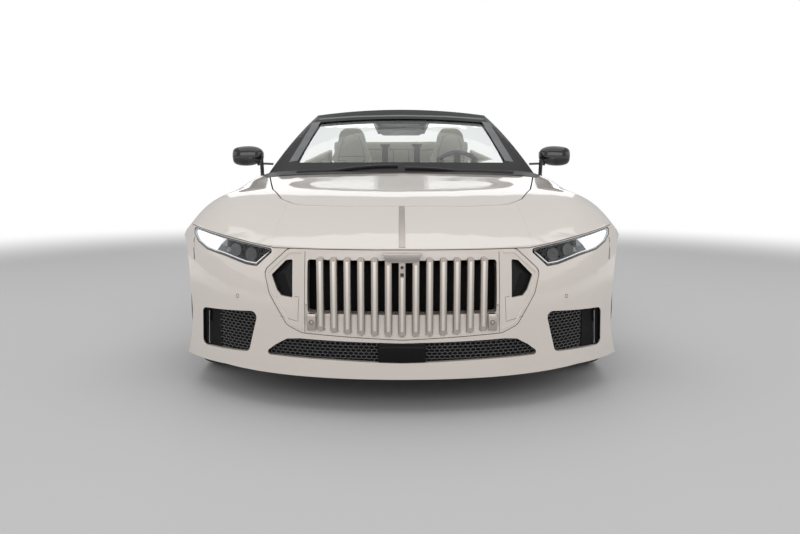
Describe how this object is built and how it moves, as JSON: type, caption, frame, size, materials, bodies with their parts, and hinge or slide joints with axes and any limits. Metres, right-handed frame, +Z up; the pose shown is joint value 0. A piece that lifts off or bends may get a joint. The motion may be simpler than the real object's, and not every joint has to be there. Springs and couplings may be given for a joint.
{
  "type": "roadster convertible",
  "caption": "Open two-plus-two roadster with a long bonnet, upright bar grille, opening doors, bonnet and boot lid, steered front wheels.",
  "frame": {"origin": "on the ground under the middle of the car's length and width", "axes": "+Z up, the car faces -Y, +X to the car's own left, where the steering wheel is"},
  "size_m": [2.1, 4.96, 1.3299],
  "materials": {
    "body_paint": "gloss solid paint, warm pale greige",
    "satin_metal": "satin champagne metal",
    "bright_metal": "polished",
    "gloss_black": "gloss black",
    "black_trim": "grained black plastic",
    "underbody": "fibre underbody panels and carpet",
    "lamp_glass": "clear",
    "lamp_white": "white light guide",
    "red_lens": "red lens",
    "screen_glass": "clear laminated glass",
    "mirror_glass": "silvered",
    "interior_leather": "fine grained, warm beige",
    "dark_leather": "smooth, dark",
    "belt_webbing": "woven seat belt",
    "carpet": "cut pile",
    "wheel_metal": "painted and machined alloy",
    "brake_iron": "machined disc",
    "tyre_rubber": "matt",
    "forged_steel": "coated black",
    "cast_block": "as cast",
    "exhaust_steel": "satin, slightly heat tinted"
  },
  "bodies": {
    "chassis": {"floor_pan": "underbody", "front_bumper": "body_paint", "nose_panel": "body_paint", "cowl": "black_trim", "front_wings": "body_paint", "rear_quarters": "body_paint", "tonneau_cover": "body_paint", "rear_bumper": "body_paint", "sills": "body_paint", "hinges": "forged_steel", "arch_liners": "underbody", "grille_bars": "satin_metal", "grille_surround": "body_paint", "intake_mesh": "black_trim", "headlamps": "lamp_glass", "tail_lamps": "red_lens", "radiator": "underbody", "windscreen_frame": "gloss_black", "windscreen_glass": "screen_glass", "interior_mirror": "gloss_black", "dashboard": "interior_leather", "console": "interior_leather", "front_seats": "interior_leather", "rear_bench": "interior_leather", "front_subframe": "forged_steel", "rear_subframe": "forged_steel", "engine_block": "cast_block", "exhaust": "exhaust_steel"},
    "bonnet_lid": {"bonnet": "body_paint"},
    "boot": {"boot_lid": "body_paint"},
    "left_door": {"door_left": "body_paint", "mirror_left": "gloss_black"},
    "right_door": {"door_right": "body_paint", "mirror_right": "gloss_black"},
    "steering": {"steering_wheel": "dark_leather"},
    "upright_fl": {"knuckle_fl": "forged_steel"},
    "upright_fr": {"knuckle_fr": "forged_steel"},
    "wheel_fl": {"rim_fl": "wheel_metal", "tyre_fl": "tyre_rubber"},
    "wheel_fr": {"rim_fr": "wheel_metal", "tyre_fr": "tyre_rubber"},
    "wheel_rl": {"rim_rl": "wheel_metal", "tyre_rl": "tyre_rubber"},
    "wheel_rr": {"rim_rr": "wheel_metal", "tyre_rr": "tyre_rubber"}
  },
  "joints": [
    {"name": "steer_left", "type": "hinge", "parent": "chassis", "child": "upright_fl", "pos_m": [0.79, -1.6, 0.335], "axis": [0, 0, 1], "range_deg": [-30, 30]},
    {"name": "steer_right", "type": "hinge", "parent": "chassis", "child": "upright_fr", "pos_m": [-0.79, -1.6, 0.335], "axis": [0, 0, 1], "range_deg": [-30, 30]},
    {"name": "steering_turn", "type": "hinge", "parent": "chassis", "child": "steering", "pos_m": [0.37, -0.10725, 0.88], "axis": [0, 0.9135, 0.4067], "range_deg": [-400, 400]},
    {"name": "spin_fl", "type": "hinge", "parent": "upright_fl", "child": "wheel_fl", "pos_m": [0.84, -1.6, 0.335], "axis": [1, 0, 0], "continuous": true},
    {"name": "spin_fr", "type": "hinge", "parent": "upright_fr", "child": "wheel_fr", "pos_m": [-0.84, -1.6, 0.335], "axis": [1, 0, 0], "continuous": true},
    {"name": "spin_rl", "type": "hinge", "parent": "chassis", "child": "wheel_rl", "pos_m": [0.84, 1.23, 0.335], "axis": [1, 0, 0], "continuous": true},
    {"name": "spin_rr", "type": "hinge", "parent": "chassis", "child": "wheel_rr", "pos_m": [-0.84, 1.23, 0.335], "axis": [1, 0, 0], "continuous": true},
    {"name": "door_left_open", "type": "hinge", "parent": "chassis", "child": "left_door", "pos_m": [0.955, -0.78, 0.5], "axis": [0, 0, -1], "range_deg": [0, 65]},
    {"name": "door_right_open", "type": "hinge", "parent": "chassis", "child": "right_door", "pos_m": [-0.955, -0.78, 0.5], "axis": [0, 0, 1], "range_deg": [0, 65]},
    {"name": "bonnet_open", "type": "hinge", "parent": "chassis", "child": "bonnet_lid", "pos_m": [0, -1.042, 0.8673], "axis": [-1, 0, 0], "range_deg": [0, 50]},
    {"name": "boot_open", "type": "hinge", "parent": "chassis", "child": "boot", "pos_m": [0, 1.632, 0.97785], "axis": [1, 0, 0], "range_deg": [0, 70]}
  ],
  "couplings": [
    {"joint": "steer_right", "follows": "steer_left", "ratio": 1},
    {"joint": "steering_turn", "follows": "steer_left", "ratio": 13.333}
  ]
}
